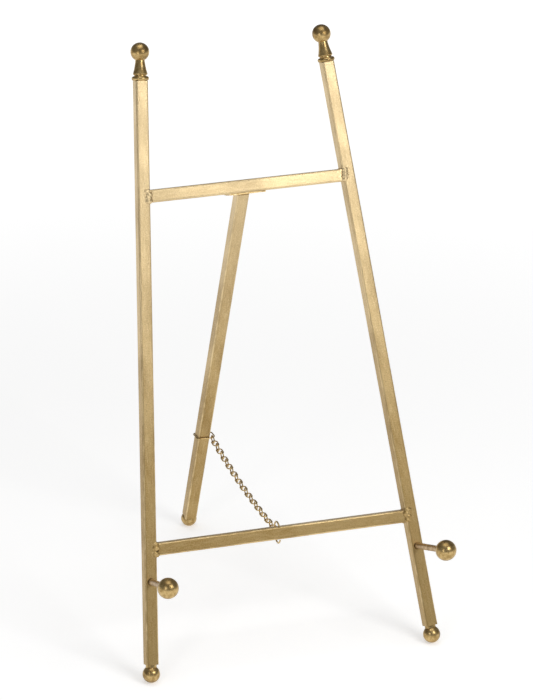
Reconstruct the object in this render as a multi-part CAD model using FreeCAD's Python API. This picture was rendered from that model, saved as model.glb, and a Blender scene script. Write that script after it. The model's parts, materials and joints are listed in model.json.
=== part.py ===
# Display easel: a leaning frame of square tube on ball feet, two picture pegs, and a hinged
# back leg that a chain holds open. Millimetres, +Z up, -Y towards the viewer.
# The origin is on the floor, in the middle of the easel's outline.
import FreeCAD, Part
import os
from math import atan, atan2, cos, degrees, hypot, radians, sin, sqrt

V = FreeCAD.Vector

# ---- tube ----
TUBE_W = 12.0                # outside width of every tube
TUBE_WALL = 1.2
TUBE_EDGE_R = 1.8            # outside edge radius

# ---- leaning frame; distances "up" are measured in the frame's plane from the foot balls ----
LEAN = 20.0                  # degrees back from vertical
FOOT_HALF_SPAN = 139.0       # foot ball to the middle
TOP_HALF_SPAN = 91.2         # leg centre to the middle, at the leg's top
LEG_TOP_UP = 548.0
LOWER_BAR_UP = 115.0
UPPER_BAR_UP = 441.0

# ---- feet ----
FOOT_R = 8.2
FOOT_GAP = 0.8               # between the ball and the tube's end
FOOT_NECK_STEP = 0.8         # neck inside the tube's outside
BACK_FOOT_R = 7.75
BACK_FOOT_SEAT = 4.6         # ball centre beyond the back leg's end
BACK_FOOT_BEHIND = 318.0     # back foot behind the line between the front feet
PLUG_CLEAR = 0.1             # between a plug and the tube's bore
PLUG_LEN = 8.0

# ---- finials ----
FINIAL_R = 8.75
FINIAL_UP = 26.8             # ball centre above the leg's top
FINIAL_NECK_R = 4.4
FINIAL_CONE_R = 6.85
FINIAL_CONE_UP = 6.6         # widest point of the cone above the leg's top
FINIAL_STUD_R = 3.0
COLLAR_OVER = 2.1            # collar outside the tube's outside
COLLAR_H = 4.4
COLLAR_ROUND = 2.0

# ---- pegs ----
PEG_UP = 86.0
PEG_REACH = 68.0             # leg's face to the ball's centre
PEG_ROD_R = 3.0
PEG_HOLE_CLEAR = 0.4
PEG_BALL_R = 9.8
PEG_TOE = 3.4                # degrees that each peg turns outwards

# ---- welds ----
BEAD_R = 2.3
BEAD_SINK = 1.3              # bead centre below the tube's face
BEAD_MELT = 0.7              # depth that the weld melts into the faces
BEAD_SWELL = 0.2             # taken from or added to each lump in turn
BEAD_STEPS = 4

# ---- hinge ----
HINGE_W = 35.0
LEAF_T = 1.4
LEAF_FRONT = 5.0             # fixed leaf's front edge ahead of the bar's centre
LEAF_LEN = 20.0              # moving leaf's length inside the back leg
BARREL_R = 2.2
PIN_R = 1.15
PIN_HEAD_R = 1.9
PIN_HEAD_T = 1.0
HINGE_GAP = 0.3              # between pieces that move past each other
RUNNING_CLEAR = 0.05         # pin to the knuckle that turns on it

BACK_LEG_DROP = 0.4          # tube's top below the barrel

# ---- rings and chain ----
BAR_RING_WIRE_R = 0.8
BAR_RING_X = -2.8
BAR_RING_PULL = 1.2          # ring centre off the bar's centre, towards the chain
MOUTH_CLEAR = 0.4            # ring's opening in front, past the bar's top and bottom faces
LEG_RING_UP = 115.0          # above the back foot ball, along the leg
LEG_RING_WIRE_R = 0.65
LEG_RING_BULGE = 5.2         # wire's centre beyond the leg's right face
LEG_RING_TIGHT_R = 2.6       # bends on the left
LEG_RING_WIDE_R = 4.6        # bends on the right
RING_CLEAR = 0.35
LINK_COUNT = 26
LINK_WIRE_R = 0.6
LINK_HALF_W = 2.85           # to the wire's centre
LINK_GAP = 0.3
CHAIN_SIDE = 1.6             # chain's hook on the leg ring, beyond the leg's right face
CHAIN_SAG = 5.0

# ---- derived places ----
HALF = TUBE_W / 2
BORE_HALF = HALF - TUBE_WALL
BORE_EDGE_R = max(TUBE_EDGE_R - TUBE_WALL, 0)
UP = V(0, sin(radians(LEAN)), cos(radians(LEAN)))       # up along the frame
BACK = V(0, cos(radians(LEAN)), -sin(radians(LEAN)))    # out of the frame's back
RIGHT = V(1, 0, 0)
FRAME_ZERO = V(0, 0, FOOT_R)
HALF_DIAGONAL = HALF * sqrt(2) - TUBE_EDGE_R * (sqrt(2) - 1)
FOOT_NECK_R = HALF - FOOT_NECK_STEP
COLLAR_R = HALF + COLLAR_OVER
LEG_RUN = V(FOOT_HALF_SPAN - TOP_HALF_SPAN, 0, LEG_TOP_UP)
SIDES = (("left", -1), ("right", 1))


def frame_point(x, up, back=0.0):
    return FRAME_ZERO + RIGHT * x + UP * up + BACK * back


def place(shape, origin, z_axis, y_axis):
    """Moves a shape from its own axes to the given ones."""
    z = V(z_axis).normalize()
    y = V(y_axis).normalize()
    x = y.cross(z)
    matrix = FreeCAD.Matrix(x.x, y.x, z.x, origin.x,
                            x.y, y.y, z.y, origin.y,
                            x.z, y.z, z.z, origin.z,
                            0, 0, 0, 1)
    copy = shape.copy()
    copy.Placement = FreeCAD.Placement(matrix).multiply(copy.Placement)
    return copy


def beyond(origin, outward):
    """A block on the far side of a plane, larger than any joint that it trims."""
    size = 6 * TUBE_W
    upright = UP if abs(outward.dot(UP)) < 0.5 else BACK
    return place(Part.makeBox(size, size, size, V(-size / 2, -size / 2, 0)), origin, outward, upright)


def square_prism(half, edge_r, z0, z1):
    """A square bar along Z with rounded long edges."""
    box = Part.makeBox(2 * half, 2 * half, z1 - z0, V(-half, -half, z0))
    if edge_r <= 0:
        return box
    long_edges = [e for e in box.Edges
                  if abs(e.Vertexes[0].X - e.Vertexes[1].X) < 1e-6
                  and abs(e.Vertexes[0].Y - e.Vertexes[1].Y) < 1e-6]
    return box.makeFillet(edge_r, long_edges)


def square_tube(z0, z1):
    outer = square_prism(HALF, TUBE_EDGE_R, z0, z1)
    inner = square_prism(BORE_HALF, BORE_EDGE_R, z0 - 1, z1 + 1)
    return outer.cut(inner)


def lathe(points_and_arcs):
    """Turns an (r, z) outline about Z. An entry is a point, or (mid, end) for an arc."""
    edges = []
    here = points_and_arcs[0]
    for entry in points_and_arcs[1:] + [points_and_arcs[0]]:
        if isinstance(entry[0], tuple):
            mid, end = entry
            edges.append(Part.Arc(V(here[0], 0, here[1]), V(mid[0], 0, mid[1]),
                                  V(end[0], 0, end[1])).toShape())
        else:
            end = entry
            edges.append(Part.makeLine(V(here[0], 0, here[1]), V(end[0], 0, end[1])))
        here = end
    face = Part.Face(Part.Wire(edges))
    return face.revolve(V(0, 0, 0), V(0, 0, 1), 360)


# ---- leaning frame ----
def leg_axis(side):
    """Foot ball centre and the direction up the leg."""
    foot = frame_point(side * FOOT_HALF_SPAN, 0)
    top = frame_point(side * TOP_HALF_SPAN, LEG_TOP_UP)
    return foot, (top - foot).normalize()


def leg_x(side, up):
    """Leg centre's distance from the middle at a height in the frame."""
    return side * (FOOT_HALF_SPAN - (FOOT_HALF_SPAN - TOP_HALF_SPAN) * up / LEG_TOP_UP)


def leg_length():
    return hypot(LEG_TOP_UP, FOOT_HALF_SPAN - TOP_HALF_SPAN)


def leg_start():
    return FOOT_R + FOOT_GAP


def leg_block(side):
    """The space that a leg takes up, with square edges, for cutting what butts against it."""
    foot, along = leg_axis(side)
    return place(square_prism(HALF, 0, leg_start(), leg_length()), foot, along, BACK)


def peg_axis(side):
    """Where the peg's centreline leaves the leg's face, and its direction."""
    root = frame_point(leg_x(side, PEG_UP), PEG_UP, -HALF)
    out = BACK * -cos(radians(PEG_TOE)) + RIGHT * (side * sin(radians(PEG_TOE)))
    return root, out


def front_leg(side):
    foot, along = leg_axis(side)
    tube = place(square_tube(leg_start(), leg_length()), foot, along, BACK)
    root, out = peg_axis(side)
    hole_r = PEG_ROD_R + PEG_HOLE_CLEAR
    hole = Part.makeCylinder(hole_r, 4 * TUBE_WALL, root + out * TUBE_WALL, out * -1)
    return tube.cut([hole] + weld_beads(side, LOWER_BAR_UP) + weld_beads(side, UPPER_BAR_UP))


def crossbar(up):
    """A tube whose ends are cut to butt against the legs."""
    reach = leg_x(1, up)
    bar = place(square_tube(-reach, reach), frame_point(0, up), RIGHT, BACK)
    return bar.cut([leg_block(-1), leg_block(1)] + weld_beads(-1, up) + weld_beads(1, up))


def weld_beads(side, up):
    """Two runs of weld, on the front and the back of a leg-to-bar corner."""
    foot, along = leg_axis(side)
    corner = frame_point(leg_x(side, up) - side * HALF, up)
    spacing = TUBE_W / (BEAD_STEPS + 0.6)
    runs = []
    for face in (-1, 1):
        line = corner + BACK * (face * (HALF - BEAD_SINK))
        lumps = []
        for step in range(BEAD_STEPS):
            swell = BEAD_SWELL if step % 2 == (side + 1) // 2 else -BEAD_SWELL
            slide = (step - (BEAD_STEPS - 1) / 2) * spacing
            lumps.append(Part.makeSphere(BEAD_R + swell, line + along * slide))
        bottom = corner + BACK * (face * (HALF - BEAD_MELT))
        runs.append(lumps[0].fuse(lumps[1:]).common(beyond(bottom, BACK * face)))
    return [solid for run in runs for solid in run.removeSplitter().Solids]


def front_foot(side):
    foot, along = leg_axis(side)
    ball = Part.makeSphere(FOOT_R)
    neck = Part.makeCylinder(FOOT_NECK_R, leg_start() - FOOT_R / 2, V(0, 0, FOOT_R / 2))
    plug = Part.makeCylinder(BORE_HALF - PLUG_CLEAR, PLUG_LEN + FOOT_R, V(0, 0, FOOT_GAP))
    return place(ball.fuse([neck, plug]).removeSplitter(), foot, along, BACK)


def finial(side):
    """Ball, waisted cone and stud, turned from one bar."""
    foot, along = leg_axis(side)
    top = foot + along * leg_length()
    ball = Part.makeSphere(FINIAL_R, V(0, 0, FINIAL_UP))
    neck_up = FINIAL_UP - FINIAL_R * 0.9
    waist_mid = ((FINIAL_NECK_R + FINIAL_CONE_R) / 2 - 0.35, (neck_up + FINIAL_CONE_UP) / 2)
    groove_r = FINIAL_CONE_R - 1.2
    cone = lathe([(0, FINIAL_UP), (FINIAL_NECK_R, FINIAL_UP), (FINIAL_NECK_R, neck_up),
                  (waist_mid, (FINIAL_CONE_R, FINIAL_CONE_UP)),
                  ((FINIAL_CONE_R - 0.25, FINIAL_CONE_UP - 0.75), (groove_r, COLLAR_H + 0.9)),
                  (groove_r, COLLAR_H), (FINIAL_STUD_R, COLLAR_H), (FINIAL_STUD_R, -PLUG_LEN),
                  (0, -PLUG_LEN)])
    return place(ball.fuse(cone).removeSplitter(), top, along, BACK)


def finial_collar(side):
    foot, along = leg_axis(side)
    top = foot + along * leg_length()
    flat_r = COLLAR_R - COLLAR_ROUND
    ring = lathe([(FINIAL_STUD_R, 0), (flat_r, 0), ((COLLAR_R, COLLAR_H / 2), (flat_r, COLLAR_H)),
                  (FINIAL_STUD_R, COLLAR_H)])
    return place(ring, top, along, BACK)


def peg_rod(side):
    """Through the hole in the leg's front wall and up to its back wall."""
    root, out = peg_axis(side)
    inside = TUBE_W
    rod = Part.makeCylinder(PEG_ROD_R, inside + PEG_REACH, root - out * inside, out)
    back_wall = frame_point(leg_x(side, PEG_UP), PEG_UP, BORE_HALF)
    return rod.cut(beyond(back_wall, BACK))


def peg_ball(side):
    root, out = peg_axis(side)
    centre = root + out * PEG_REACH
    bore = Part.makeCylinder(PEG_ROD_R, PEG_BALL_R, centre, out * -1)
    return Part.makeSphere(PEG_BALL_R, centre).cut(bore)


# ---- hinge; its axis runs along X behind the upper bar's lower edge ----
HINGE_BACK = HALF + BARREL_R + HINGE_GAP
HINGE_DOWN = HALF + LEAF_T - BARREL_R
HINGE_AT = frame_point(0, UPPER_BAR_UP - HINGE_DOWN, HINGE_BACK)
KNUCKLE_HALF = HALF                       # the moving knuckle is as wide as the back leg
LEG_FACE = -BARREL_R                      # back leg's front face, behind the hinge axis
LEG_CENTRE = LEG_FACE + HALF
FOOT_OUT = BACK_FOOT_BEHIND - HINGE_AT.y
FOOT_DOWN = HINGE_AT.z - BACK_FOOT_R
BACK_LEG_LEN = sqrt(FOOT_OUT ** 2 + FOOT_DOWN ** 2 - LEG_CENTRE ** 2)
LEG_ANGLE = atan2(FOOT_OUT, FOOT_DOWN) - atan(LEG_CENTRE / BACK_LEG_LEN)
LEG_DOWN = V(0, sin(LEG_ANGLE), -cos(LEG_ANGLE))
LEG_BACK = V(0, cos(LEG_ANGLE), sin(LEG_ANGLE))
OPEN_ANGLE = LEAN + degrees(LEG_ANGLE)    # between the frame and the back leg
BACK_LEG_TOP = BARREL_R + BACK_LEG_DROP


def leg_point(x, down, back=LEG_CENTRE):
    return HINGE_AT + RIGHT * x + LEG_DOWN * down + LEG_BACK * back


def on_hinge(shape):
    """From hinge axes (X right, Y out of the frame's back, Z up the frame) to the model's."""
    return place(shape, HINGE_AT, UP, BACK)


def x_cylinder(radius, x0, x1):
    return Part.makeCylinder(radius, x1 - x0, V(x0, 0, 0), V(1, 0, 0))


def hinge_fixed_leaf():
    """A plate under the upper bar, rolled into a knuckle on each side of the back leg."""
    under = -BARREL_R
    plate = Part.makeBox(HINGE_W, HINGE_BACK + LEAF_FRONT, LEAF_T,
                         V(-HINGE_W / 2, -HINGE_BACK - LEAF_FRONT, under))
    notch_half = KNUCKLE_HALF + HINGE_GAP
    notch = Part.makeBox(2 * notch_half, 4 * BARREL_R, 4 * BARREL_R,
                         V(-notch_half, -BARREL_R - HINGE_GAP, -2 * BARREL_R))
    leaf = plate.fuse(x_cylinder(BARREL_R, -HINGE_W / 2, HINGE_W / 2))
    leaf = leaf.cut(notch).cut(x_cylinder(PIN_R, -HINGE_W, HINGE_W))
    return on_hinge(leaf.removeSplitter())


def hinge_moving_leaf():
    """The middle knuckle, and a tongue that runs down inside the back leg's front wall."""
    tongue_half = BORE_HALF - BORE_EDGE_R - PLUG_CLEAR
    face = LEG_FACE + TUBE_WALL
    tongue = Part.makeBox(2 * tongue_half, LEAF_T, BACK_LEG_TOP + LEAF_LEN,
                          V(-tongue_half, face, -BACK_LEG_TOP - LEAF_LEN))
    leaf = tongue.fuse(x_cylinder(BARREL_R, -KNUCKLE_HALF, KNUCKLE_HALF))
    leaf = leaf.cut(x_cylinder(PIN_R + RUNNING_CLEAR, -HINGE_W, HINGE_W))
    return place(leaf.removeSplitter(), HINGE_AT, LEG_DOWN * -1, LEG_BACK)


def hinge_pin():
    ends = HINGE_W / 2
    heads = [x_cylinder(PIN_HEAD_R, ends, ends + PIN_HEAD_T),
             x_cylinder(PIN_HEAD_R, -ends - PIN_HEAD_T, -ends)]
    return on_hinge(x_cylinder(PIN_R, -ends, ends).fuse(heads).removeSplitter())


# ---- back leg ----
def back_foot_centre():
    return leg_point(0, BACK_LEG_LEN)


def back_leg():
    tube = square_tube(BACK_LEG_TOP, BACK_LEG_LEN - BACK_FOOT_SEAT)
    tube = place(tube, leg_point(0, 0), LEG_DOWN, LEG_BACK)
    return tube.cut(Part.makeSphere(BACK_FOOT_R, back_foot_centre()))


def back_foot():
    return Part.makeSphere(BACK_FOOT_R, back_foot_centre())


# ---- rings ----
BAR_RING_R = HALF_DIAGONAL + BAR_RING_PULL + RING_CLEAR + BAR_RING_WIRE_R
BAR_CENTRE = frame_point(BAR_RING_X, LOWER_BAR_UP)
LEG_RING_CENTRE = leg_point(0, BACK_LEG_LEN - LEG_RING_UP)
STRAND_Y = HALF / cos(LEG_ANGLE) + RING_CLEAR + LEG_RING_WIRE_R / cos(LEG_ANGLE)
HOOK = LEG_RING_CENTRE + V(HALF + CHAIN_SIDE, -STRAND_Y, 0)      # on the wire's centreline
CHAIN_HEADING = (HOOK - BAR_CENTRE).normalize()
CHAIN_SIDEWAYS = CHAIN_HEADING.cross(V(0, 0, 1)).normalize()
CHAIN_OVER = CHAIN_SIDEWAYS.cross(CHAIN_HEADING)


def rounded_loop(corners, radii, wire_r):
    """A closed wire through rounded right-angled corners, as one pipe."""
    bends = []
    for i, here in enumerate(corners):
        to_last = (corners[i - 1] - here).normalize()
        to_next = (corners[(i + 1) % len(corners)] - here).normalize()
        mid = here + (to_last + to_next) * (radii[i] * (1 - sqrt(0.5)))
        bends.append((here + to_last * radii[i], mid, here + to_next * radii[i]))
    edges = []
    for i, bend in enumerate(bends):
        bend_in, mid, bend_out = bends[(i + 1) % len(bends)]
        edges.append(Part.makeLine(bend[2], bend_in))
        edges.append(Part.Arc(bend_in, mid, bend_out).toShape())
    start = bends[0][2]
    profile = Part.Wire(Part.makeCircle(wire_r, start, bends[1][0] - start))
    return Part.Wire(edges).makePipeShell([profile], True, False)


def leg_ring():
    """A bent wire that hooks round the back leg, level, with room for the chain on its right."""
    left = -HALF - RING_CLEAR - LEG_RING_WIRE_R
    right = HALF + LEG_RING_BULGE
    corners = [V(left, -STRAND_Y, 0), V(right, -STRAND_Y, 0),
               V(right, STRAND_Y, 0), V(left, STRAND_Y, 0)]
    radii = [LEG_RING_TIGHT_R, LEG_RING_WIDE_R, LEG_RING_WIDE_R, LEG_RING_TIGHT_R]
    loop = rounded_loop(corners, radii, LEG_RING_WIRE_R)
    loop.translate(LEG_RING_CENTRE)
    return loop


def bar_ring():
    """A round wire hook that sits on the lower bar and turns about it.

    It is open in front, so nothing crosses the front face that a picture leans on.
    """
    centre = BAR_CENTRE + CHAIN_HEADING * BAR_RING_PULL
    ring = Part.makeTorus(BAR_RING_R, BAR_RING_WIRE_R, centre, CHAIN_SIDEWAYS)
    reach = 2 * BAR_RING_R
    opening = 2 * (HALF + MOUTH_CLEAR)
    mouth = Part.makeBox(reach, reach, opening, V(-reach / 2, -reach, -opening / 2))
    return ring.cut(place(mouth, BAR_CENTRE, UP, BACK))


# ---- chain; joint points lie on a shallow arc from the bar ring to the leg ring ----
def chain_joints():
    bar_ring_end = BAR_RING_PULL + BAR_RING_R - BAR_RING_WIRE_R - LINK_GAP / 2
    start = BAR_CENTRE + CHAIN_HEADING * bar_ring_end
    end = HOOK + CHAIN_HEADING * (LEG_RING_WIRE_R + LINK_GAP / 2)
    chord = (end - start).Length
    radius = (chord * chord / 4 + CHAIN_SAG * CHAIN_SAG) / (2 * CHAIN_SAG)
    half_turn = 2 * atan(2 * CHAIN_SAG / chord)
    centre = (start + end) * 0.5 + CHAIN_OVER * (radius - CHAIN_SAG)
    points = []
    for i in range(LINK_COUNT + 1):
        turn = half_turn * (2.0 * i / LINK_COUNT - 1)
        out = CHAIN_HEADING * sin(turn) - CHAIN_OVER * cos(turn)
        points.append(centre + out * radius)
    return points


def oval_link(pitch):
    """One link along Z in the plane X = 0: two bends and two straight sides."""
    straight = pitch / 2 + LINK_WIRE_R + LINK_GAP / 2 - LINK_HALF_W
    ring = Part.makeCircle(LINK_WIRE_R, V(0, LINK_HALF_W, 0), V(0, 0, 1))
    section = Part.Face(Part.Wire(ring))
    pieces = []
    for end in (-1, 1):
        bend = section.revolve(V(0, 0, 0), V(1, 0, 0), end * 180)
        bend.translate(V(0, 0, end * straight))
        side = Part.makeCylinder(LINK_WIRE_R, 2 * straight, V(0, end * LINK_HALF_W, -straight))
        pieces += [bend, side]
    return pieces[0].fuse(pieces[1:]).removeSplitter()


def chain_links():
    """Links in turn lie flat and stand on edge."""
    points = chain_joints()
    pitch = (points[1] - points[0]).Length
    link = oval_link(pitch)
    links = []
    for i in range(LINK_COUNT):
        along = (points[i + 1] - points[i]).normalize()
        across = CHAIN_SIDEWAYS if i % 2 == 0 else CHAIN_SIDEWAYS.cross(along)
        links.append(place(link, (points[i] + points[i + 1]) * 0.5, along, across))
    return links


def all_nodes():
    nodes = {}
    for name, side in SIDES:
        nodes[name + "_leg"] = front_leg(side)
        nodes[name + "_foot"] = front_foot(side)
        nodes[name + "_finial"] = finial(side)
        nodes[name + "_finial_collar"] = finial_collar(side)
        nodes[name + "_peg_rod"] = peg_rod(side)
        nodes[name + "_peg_ball"] = peg_ball(side)
        nodes["upper_" + name + "_weld"] = Part.makeCompound(weld_beads(side, UPPER_BAR_UP))
        nodes["lower_" + name + "_weld"] = Part.makeCompound(weld_beads(side, LOWER_BAR_UP))
    nodes["upper_crossbar"] = crossbar(UPPER_BAR_UP)
    nodes["lower_crossbar"] = crossbar(LOWER_BAR_UP)
    nodes["hinge_fixed_leaf"] = hinge_fixed_leaf()
    nodes["hinge_moving_leaf"] = hinge_moving_leaf()
    nodes["hinge_pin"] = hinge_pin()
    nodes["back_leg"] = back_leg()
    nodes["back_foot"] = back_foot()
    nodes["leg_ring"] = leg_ring()
    nodes["bar_ring"] = bar_ring()
    for i, link in enumerate(chain_links()):
        nodes["chain_link_%02d" % (i + 1)] = link
    return nodes


def origin_shift():
    """From the line between the front feet to the middle of the easel's outline."""
    root, out = peg_axis(1)
    front = (root + out * PEG_REACH).y - PEG_BALL_R
    rear = back_foot_centre().y + BACK_FOOT_R
    return V(0, -(front + rear) / 2, 0)


def main():
    os.makedirs("parts", exist_ok=True)
    shift = origin_shift()
    for name, shape in all_nodes().items():
        shape.translate(shift)
        shape.exportStep("parts/%s.step" % name)


main()
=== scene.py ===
"""A folding display easel in antique gold: looks, light and camera over the fixed CAD frame."""

import json
import random
from math import cos, radians, sin

import bmesh
import bpy
from mathutils import Matrix, Vector, noise


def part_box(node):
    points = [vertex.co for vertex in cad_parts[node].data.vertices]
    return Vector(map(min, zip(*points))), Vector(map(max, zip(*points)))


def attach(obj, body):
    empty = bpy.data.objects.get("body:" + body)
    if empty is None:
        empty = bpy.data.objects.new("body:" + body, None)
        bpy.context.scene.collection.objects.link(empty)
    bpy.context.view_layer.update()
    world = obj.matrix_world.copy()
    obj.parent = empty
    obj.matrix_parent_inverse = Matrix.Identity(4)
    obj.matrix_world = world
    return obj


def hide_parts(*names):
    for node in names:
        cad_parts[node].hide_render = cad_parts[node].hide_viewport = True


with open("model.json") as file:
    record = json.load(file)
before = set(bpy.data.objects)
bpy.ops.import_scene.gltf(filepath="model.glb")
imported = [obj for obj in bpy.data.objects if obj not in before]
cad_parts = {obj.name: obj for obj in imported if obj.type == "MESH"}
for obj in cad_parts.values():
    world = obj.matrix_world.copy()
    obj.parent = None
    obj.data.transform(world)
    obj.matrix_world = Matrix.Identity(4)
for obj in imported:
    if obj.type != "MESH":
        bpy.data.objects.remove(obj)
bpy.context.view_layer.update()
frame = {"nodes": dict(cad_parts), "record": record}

MM = 0.001
NODES = frame["nodes"]
SLOT_OF = {row["node"]: row["material_slot"] for row in frame["record"]["subparts"]}

# ---- camera: where it looks from, round the easel ----
AIM = Vector((0.0162, 0.0, 0.2621))
CAMERA_DISTANCE = 4.399
CAMERA_YAW = 18.94             # degrees that it looks towards +X from +Y
CAMERA_PITCH = -22.77
CAMERA_ROLL = 0.63
CAMERA_LENS = 314.95           # mm, on a 36 mm wide sensor
CAMERA_SHIFT = (0.0033, -0.0042)

# ---- finishes: linear colours ----
# The champagne colour is used only for the painted highlight towards the top.
PAINTED_TOP_HIGHLIGHT = (0.84, 0.69, 0.44)
PALE_GOLD = (0.80, 0.63, 0.36)
GOLD = (0.60, 0.43, 0.19)
DEEP_GOLD = (0.40, 0.265, 0.095)
BROWN = (0.15, 0.085, 0.03)


# ================================================================ node helpers
class Graph:
    """Builds a material's nodes with short calls."""

    def __init__(self, name):
        self.material = bpy.data.materials.new(name)
        self.material.use_nodes = True
        self.tree = self.material.node_tree
        self.tree.nodes.clear()

    def add(self, kind, **settings):
        node = self.tree.nodes.new(kind)
        for key, value in settings.items():
            setattr(node, key, value)
        return node

    def link(self, out, socket):
        self.tree.links.new(out, socket)

    def feed(self, socket, value):
        """Links a socket to another node's output, or sets its own value."""
        if isinstance(value, bpy.types.NodeSocket):
            self.link(value, socket)
        else:
            socket.default_value = value

    def math(self, operation, a, b=0.0, clamp=False):
        node = self.add("ShaderNodeMath", operation=operation, use_clamp=clamp)
        self.feed(node.inputs[0], a)
        self.feed(node.inputs[1], b)
        return node.outputs[0]

    def ramp(self, value, low, high, to_low=0.0, to_high=1.0):
        node = self.add("ShaderNodeMapRange", interpolation_type="SMOOTHSTEP")
        self.feed(node.inputs["Value"], value)
        node.inputs["From Min"].default_value = low
        node.inputs["From Max"].default_value = high
        node.inputs["To Min"].default_value = to_low
        node.inputs["To Max"].default_value = to_high
        return node.outputs[0]

    def mix(self, share, a, b):
        node = self.add("ShaderNodeMix", data_type="RGBA")
        self.feed(node.inputs["Factor"], share)
        for socket, colour in ((node.inputs[6], a), (node.inputs[7], b)):
            if isinstance(colour, bpy.types.NodeSocket):
                self.link(colour, socket)
            else:
                socket.default_value = (*colour, 1.0)
        return node.outputs[2]

    def noise(self, vector, scale, detail=3.0, roughness=0.6, stretch=(1, 1, 1)):
        mapping = self.add("ShaderNodeMapping")
        mapping.inputs["Scale"].default_value = stretch
        self.link(vector, mapping.inputs["Vector"])
        node = self.add("ShaderNodeTexNoise")
        self.link(mapping.outputs[0], node.inputs["Vector"])
        node.inputs["Scale"].default_value = scale
        node.inputs["Detail"].default_value = detail
        node.inputs["Roughness"].default_value = roughness
        return node.outputs[0]

    def height(self):
        """Height above the floor in metres, at rest."""
        split = self.add("ShaderNodeSeparateXYZ")
        self.link(self.add("ShaderNodeTexCoord").outputs["Object"], split.inputs[0])
        return split.outputs["Z"]

    def bump(self, height, strength, distance, normal=None):
        node = self.add("ShaderNodeBump")
        node.inputs["Strength"].default_value = strength
        node.inputs["Distance"].default_value = distance
        self.link(height, node.inputs["Height"])
        if normal is not None:
            self.link(normal, node.inputs["Normal"])
        return node.outputs[0]

    def finish(self, colour, roughness, normal, metallic=1.0, coat=0.0, coat_roughness=0.2):
        shader = self.add("ShaderNodeBsdfPrincipled")
        self.feed(shader.inputs["Base Color"], colour)
        self.feed(shader.inputs["Roughness"], roughness)
        shader.inputs["Metallic"].default_value = metallic
        shader.inputs["Coat Weight"].default_value = coat
        shader.inputs["Coat Roughness"].default_value = coat_roughness
        self.link(normal, shader.inputs["Normal"])
        output = self.add("ShaderNodeOutputMaterial")
        self.link(shader.outputs[0], output.inputs["Surface"])
        return self.material


# ================================================================ tube axes
def tube_axes(name):
    """Centre, long axis and the two face directions of a square tube, from its own flat faces."""
    mesh = NODES[name].data
    faces = sorted(mesh.polygons, key=lambda face: -face.area)
    first = faces[0].normal.copy()
    second = next(f.normal.copy() for f in faces if abs(f.normal.dot(first)) < 0.1)
    along = first.cross(second).normalized()
    axes = (first, along.cross(first).normalized(), along)
    centre = Vector()
    for axis in axes:
        spans = [vertex.co.dot(axis) for vertex in mesh.vertices]
        centre += axis * (min(spans) + max(spans)) / 2
    return centre, axes


def tube_space(graph, name):
    """Coordinates in metres across (X, Y) and along (Z) a tube, fixed to the tube."""
    centre, axes = tube_axes(name)
    place = graph.add("ShaderNodeTexCoord").outputs["Object"]
    offset = graph.add("ShaderNodeVectorMath", operation="SUBTRACT")
    graph.link(place, offset.inputs[0])
    offset.inputs[1].default_value = centre
    parts = []
    for axis in axes:
        dot = graph.add("ShaderNodeVectorMath", operation="DOT_PRODUCT")
        graph.link(offset.outputs[0], dot.inputs[0])
        dot.inputs[1].default_value = axis
        parts.append(dot.outputs["Value"])
    joined = graph.add("ShaderNodeCombineXYZ")
    for socket, part in zip(joined.inputs, parts):
        graph.link(part, socket)
    return joined.outputs[0], parts


# ================================================================ materials
def tube_gold(name):
    """Satin antique gold paint: fine speckle, brushing along the tube; its edges lighter, partly wear
    and partly a painted highlight, with a painted dark reflection just inside them; paler towards the
    top, a painted highlight, and darker towards the bottom, painted shade.
    """
    graph = Graph("tube_gold_" + name)
    space, (across, deep, _) = tube_space(graph, name)
    reach = graph.math("MINIMUM", graph.math("ABSOLUTE", across), graph.math("ABSOLUTE", deep))
    # Two masks: the rim of each face, and a band just inside it where a dark edge reflection is painted
    # in brown.
    edge = graph.ramp(reach, 4.3 * MM, 5.3 * MM)
    edge_reflection_band = graph.ramp(reach, 3.4 * MM, 4.4 * MM)
    speckle = graph.noise(space, 850, 4, 0.65)
    brushed = graph.noise(space, 520, 3, 0.6, (1.0, 1.0, 0.16))
    blotch = graph.noise(space, 38, 3, 0.55, (1.0, 1.0, 0.45))
    rub = graph.noise(space, 95, 4, 0.7, (1.0, 1.0, 0.25))
    colour = graph.mix(graph.ramp(blotch, 0.34, 0.68), DEEP_GOLD, GOLD)
    colour = graph.mix(graph.ramp(brushed, 0.42, 0.74, 0.0, 0.35), colour, PALE_GOLD)
    colour = graph.mix(graph.ramp(speckle, 0.50, 0.72, 0.0, 0.60), colour, PALE_GOLD)
    colour = graph.mix(graph.ramp(speckle, 0.46, 0.30, 0.0, 0.62), colour, BROWN)
    # Painted dark edge reflection: brown in the band just inside each edge, patchy by the rub noise.
    painted_edge_reflection = graph.math("MULTIPLY", edge_reflection_band, graph.ramp(rub, 0.36, 0.62, 0.42, 0.05))
    colour = graph.mix(painted_edge_reflection, colour, BROWN)
    # Painted light and shade by height: paler champagne towards the top is a painted highlight, deeper
    # gold towards the bottom is painted shade.
    height = graph.height()
    colour = graph.mix(graph.ramp(height, 0.12, 0.50, 0.0, 0.50), colour, PAINTED_TOP_HIGHLIGHT)
    colour = graph.mix(graph.ramp(height, 0.34, 0.04, 0.0, 0.45), colour, DEEP_GOLD)
    # Lighter edges: partly wear, partly a painted highlight along the rounded edges.
    edge_wear_and_sheen = graph.math("MULTIPLY", edge, graph.ramp(rub, 0.42, 0.58, 0.25, 0.80))
    colour = graph.mix(edge_wear_and_sheen, colour, PALE_GOLD)
    rough = graph.ramp(speckle, 0.3, 0.7, 0.50, 0.36)
    rough = graph.math("ADD", rough, graph.ramp(blotch, 0.3, 0.7, 0.06, -0.04))
    rough = graph.math("SUBTRACT", rough, graph.math("MULTIPLY", edge_wear_and_sheen, 0.10))
    normal = graph.bump(brushed, 0.18, 0.08 * MM)
    normal = graph.bump(speckle, 0.42, 0.12 * MM, normal)
    return graph.finish(colour, rough, normal, 0.92)


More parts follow.
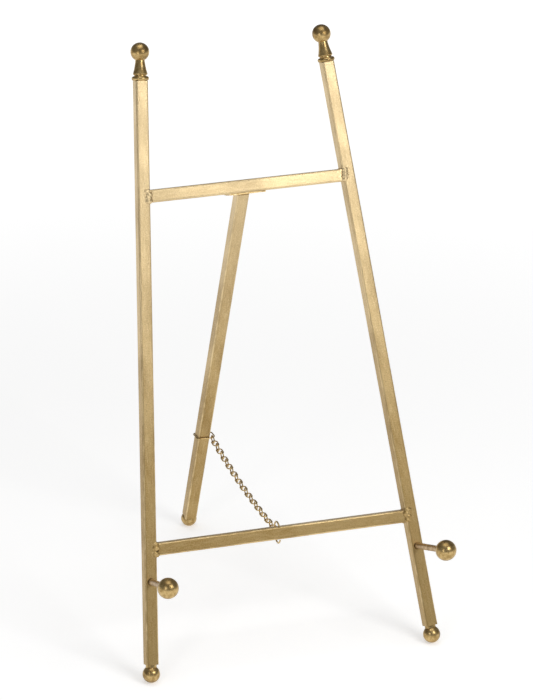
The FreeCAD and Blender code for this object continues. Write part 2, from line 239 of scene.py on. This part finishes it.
def cast_gold(name, light, deep, roughness, mottle=260, wear=0.5):
    """A turned or cast piece: smooth lacquered gold with cloudy brown tarnish."""
    graph = Graph(name)
    space = graph.add("ShaderNodeTexCoord").outputs["Object"]
    cloud = graph.noise(space, mottle, 4, 0.6)
    fine = graph.noise(space, 1500, 3, 0.6)
    broad = graph.noise(space, 75, 2, 0.5)
    colour = graph.mix(graph.ramp(cloud, 0.36, 0.66), deep, light)
    colour = graph.mix(graph.ramp(fine, 0.56, 0.74, 0.0, 0.35), colour, PALE_GOLD)
    colour = graph.mix(graph.ramp(broad, 0.52, 0.34, 0.0, wear), colour, BROWN)
    rough = graph.ramp(cloud, 0.3, 0.7, roughness + 0.07, roughness - 0.04)
    normal = graph.bump(cloud, 0.10, 0.12 * MM)
    normal = graph.bump(fine, 0.16, 0.04 * MM, normal)
    return graph.finish(colour, rough, normal, 0.96)


def rod_gold():
    """Drawn rod: satin, with fine lines round it left by the cloth that polished it."""
    graph = Graph("rod_gold")
    space = graph.add("ShaderNodeTexCoord").outputs["Object"]
    lines = graph.noise(space, 900, 3, 0.6, (0.25, 1.0, 0.35))
    cloud = graph.noise(space, 180, 3, 0.6)
    colour = graph.mix(graph.ramp(cloud, 0.35, 0.65), (0.34, 0.22, 0.10), (0.56, 0.40, 0.22))
    colour = graph.mix(graph.ramp(lines, 0.52, 0.74, 0.0, 0.5), colour, PALE_GOLD)
    rough = graph.ramp(lines, 0.3, 0.7, 0.44, 0.30)
    normal = graph.bump(lines, 0.25, 0.06 * MM)
    return graph.finish(colour, rough, normal, 0.94)


def chain_gold():
    """Aged brass wire, darker in its hollows."""
    graph = Graph("chain_gold")
    space = graph.add("ShaderNodeTexCoord").outputs["Object"]
    cloud = graph.noise(space, 700, 3, 0.6)
    broad = graph.noise(space, 160, 3, 0.6)
    colour = graph.mix(graph.ramp(cloud, 0.34, 0.66), (0.36, 0.24, 0.09), (0.80, 0.60, 0.28))
    colour = graph.mix(graph.ramp(broad, 0.52, 0.32, 0.0, 0.4), colour, BROWN)
    rough = graph.ramp(cloud, 0.3, 0.7, 0.40, 0.26)
    normal = graph.bump(cloud, 0.2, 0.05 * MM)
    return graph.finish(colour, rough, normal, 0.96)


def weld_gold():
    """Painted weld metal: lumpy, browner in its creases, and paler towards the top, a painted
    highlight.
    """
    graph = Graph("weld_gold")
    space = graph.add("ShaderNodeTexCoord").outputs["Object"]
    speckle = graph.noise(space, 850, 4, 0.65)
    cloud = graph.noise(space, 300, 3, 0.6)
    colour = graph.mix(graph.ramp(cloud, 0.36, 0.66), DEEP_GOLD, GOLD)
    colour = graph.mix(graph.ramp(speckle, 0.52, 0.72, 0.0, 0.5), colour, PALE_GOLD)
    colour = graph.mix(graph.ramp(speckle, 0.45, 0.30, 0.0, 0.6), colour, BROWN)
    # Painted highlight: paler champagne towards the top, as on the tubes.
    colour = graph.mix(graph.ramp(graph.height(), 0.12, 0.50, 0.0, 0.60), colour, PAINTED_TOP_HIGHLIGHT)
    rough = graph.ramp(speckle, 0.3, 0.7, 0.50, 0.36)
    normal = graph.bump(cloud, 0.5, 0.3 * MM)
    normal = graph.bump(speckle, 0.4, 0.12 * MM, normal)
    return graph.finish(colour, rough, normal, 0.92)


def paint_cad_nodes():
    """Each square tube has its own finish, aligned to it; other nodes share their slot's."""
    shared = {
        "ball_gold": cast_gold("ball_gold", (0.60, 0.43, 0.19), (0.38, 0.25, 0.09), 0.31),
        "rod_gold": rod_gold(),
        "chain_gold": chain_gold(),
        "weld_gold": weld_gold(),
        "hinge_gold": cast_gold("hinge_gold", PALE_GOLD, GOLD, 0.42, 400, 0.6),
    }
    for name, node in NODES.items():
        slot = SLOT_OF[name]
        material = tube_gold(name) if slot == "tube_gold" else shared[slot]
        node.data.materials.clear()
        node.data.materials.append(material)
    return shared


# ================================================================ welds
def solids_of(name):
    """The vertices of each separate solid in a CAD node."""
    mesh = bmesh.new()
    mesh.from_mesh(NODES[name].data)
    bmesh.ops.remove_doubles(mesh, verts=mesh.verts, dist=0.001 * MM)
    left = set(mesh.verts)
    groups = []
    while left:
        stack = [left.pop()]
        group = []
        while stack:
            vertex = stack.pop()
            group.append(vertex.co.copy())
            for edge in vertex.link_edges:
                other = edge.other_vert(vertex)
                if other in left:
                    left.remove(other)
                    stack.append(other)
        groups.append(group)
    mesh.free()
    return groups


def weld_run(target, centre, along, out, towards_leg, chance):
    """Four overlapping puddles of metal across a corner, spread over the leg's face."""
    for step in range(4):
        place = centre + along * ((step - 1.5) * 3.0 * MM)
        place += towards_leg * (chance.uniform(0.6, 3.8) * MM)
        place -= out * (chance.uniform(1.5, 1.9) * MM)
        size = chance.uniform(2.7, 3.4) * MM
        turn = Matrix((towards_leg, along, out)).transposed().to_4x4()
        squash = Matrix.Diagonal((1.25, 0.95, 0.86, 1.0))
        bmesh.ops.create_icosphere(target, subdivisions=3, radius=size,
                                   matrix=Matrix.Translation(place) @ turn @ squash)


def roughen(mesh, size, depth):
    """Moves each vertex a little along its normal by smooth noise."""
    for vertex in mesh.vertices:
        push = noise.noise(vertex.co / size) + 0.5 * noise.noise(vertex.co / (0.4 * size))
        vertex.co += vertex.normal * (push * depth)


def remeshed(name, source, voxel, smooth_steps):
    """One skin over overlapping lumps, smoothed where they meet."""
    mesh = bpy.data.meshes.new(name)
    source.to_mesh(mesh)
    source.free()
    piece = bpy.data.objects.new(name, mesh)
    bpy.context.scene.collection.objects.link(piece)
    skin = piece.modifiers.new("skin", "REMESH")
    skin.mode = "VOXEL"
    skin.voxel_size = voxel
    skin.use_smooth_shade = True
    soft = piece.modifiers.new("soft", "SMOOTH")
    soft.iterations = smooth_steps
    soft.factor = 0.5
    bpy.context.view_layer.update()
    depsgraph = bpy.context.evaluated_depsgraph_get()
    baked = bpy.data.meshes.new_from_object(piece.evaluated_get(depsgraph))
    piece.modifiers.clear()
    piece.data = baked
    baked.name = name
    return piece


def weld_piece(level, side, material, chance):
    """The welds between one crossbar and one leg, front and back."""
    node = f"{level}_{side}_weld"
    _, leg_axes = tube_axes(side + "_leg")
    along = leg_axes[2] if leg_axes[2].z > 0 else -leg_axes[2]
    towards_leg = Vector((-1 if side == "left" else 1, 0, 0))
    out_front = Vector((1, 0, 0)).cross(along).normalized()
    towards_leg = (towards_leg - along * towards_leg.dot(along)).normalized()
    bar_low, bar_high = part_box(level + "_crossbar")
    middle = (bar_low + bar_high) / 2
    lumps = bmesh.new()
    for group in solids_of(node):
        centre = sum(group, Vector()) / len(group)
        out = out_front if (centre - middle).dot(out_front) > 0 else -out_front
        top = max(point.dot(out) for point in group)
        centre += out * (top - 1.0 * MM - centre.dot(out))
        weld_run(lumps, centre, along, out, towards_leg, chance)
    piece = remeshed(node + "_bead", lumps, 0.35 * MM, 4)
    roughen(piece.data, 1.6 * MM, 0.22 * MM)
    piece.data.materials.clear()
    piece.data.materials.append(material)
    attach(piece, "frame")
    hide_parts(node)


def all_welds(material):
    chance = random.Random(11)
    for level in ("upper", "lower"):
        for side in ("left", "right"):
            weld_piece(level, side, material, chance)


# ================================================================ stage, light and camera
def floor():
    """A pale floor, bright enough to read as white."""
    bpy.ops.mesh.primitive_plane_add(size=14)
    plane = bpy.context.object
    plane.name = "floor"
    graph = Graph("floor")
    shader = graph.add("ShaderNodeBsdfPrincipled")
    shader.inputs["Base Color"].default_value = (0.86, 0.86, 0.86, 1)
    shader.inputs["Roughness"].default_value = 0.9
    shader.inputs["Specular IOR Level"].default_value = 0.1
    shader.inputs["Emission Color"].default_value = (1, 1, 1, 1)
    apart = graph.add("ShaderNodeVectorMath", operation="LENGTH")
    graph.link(graph.add("ShaderNodeTexCoord").outputs["Object"], apart.inputs[0])
    glow = graph.ramp(apart.outputs["Value"], 0.4, 2.0, 0.50, 0.84)
    graph.link(glow, shader.inputs["Emission Strength"])
    output = graph.add("ShaderNodeOutputMaterial")
    graph.link(shader.outputs[0], output.inputs["Surface"])
    plane.data.materials.append(graph.material)


def softbox(name, azimuth, elevation, distance, size, power, aim):
    """An area light, azimuth degrees to the right of the front and elevation above the floor."""
    turn = radians(azimuth)
    lift = radians(elevation)
    towards = Vector((sin(turn) * cos(lift), -cos(turn) * cos(lift), sin(lift)))
    light = bpy.data.lights.new(name, "AREA")
    light.shape = "RECTANGLE"
    light.size = size[0]
    light.size_y = size[1]
    light.energy = power
    lamp = bpy.data.objects.new(name, light)
    bpy.context.scene.collection.objects.link(lamp)
    lamp.location = aim + towards * distance
    lamp.rotation_euler = (-towards).to_track_quat("-Z", "Y").to_euler()


def lights():
    middle = Vector((0, 0, 0.28))
    softbox("key", 24, 32, 1.7, (0.7, 0.7), 8.2, middle)
    softbox("fill", -44, 16, 1.9, (0.35, 0.7), 2.8, middle)
    softbox("overhead", 0, 88, 2.6, (2.0, 2.0), 22, middle)
    world = bpy.data.worlds.new("studio")
    world.use_nodes = True
    background = world.node_tree.nodes["Background"]
    background.inputs["Color"].default_value = (1, 1, 1, 1)
    background.inputs["Strength"].default_value = 0.20
    bpy.context.scene.world = world


def camera():
    yaw = radians(CAMERA_YAW)
    pitch = radians(CAMERA_PITCH)
    look = Vector((sin(yaw) * cos(pitch), cos(yaw) * cos(pitch), sin(pitch)))
    right = Vector((cos(yaw), -sin(yaw), 0))
    rolled = Matrix.Rotation(radians(CAMERA_ROLL), 3, -look) @ right
    up = rolled.cross(look)
    data = bpy.data.cameras.new("camera")
    data.sensor_fit = "HORIZONTAL"
    data.sensor_width = 36
    data.lens = CAMERA_LENS
    data.shift_x, data.shift_y = CAMERA_SHIFT
    data.clip_end = 60
    eye = bpy.data.objects.new("camera", data)
    bpy.context.scene.collection.objects.link(eye)
    turn = Matrix((rolled, up, -look)).transposed().to_4x4()
    eye.matrix_world = Matrix.Translation(AIM - look * CAMERA_DISTANCE) @ turn
    bpy.context.scene.camera = eye


finishes = paint_cad_nodes()
all_welds(finishes["weld_gold"])
floor()
lights()
camera()
bpy.context.scene.view_settings.view_transform = "Standard"
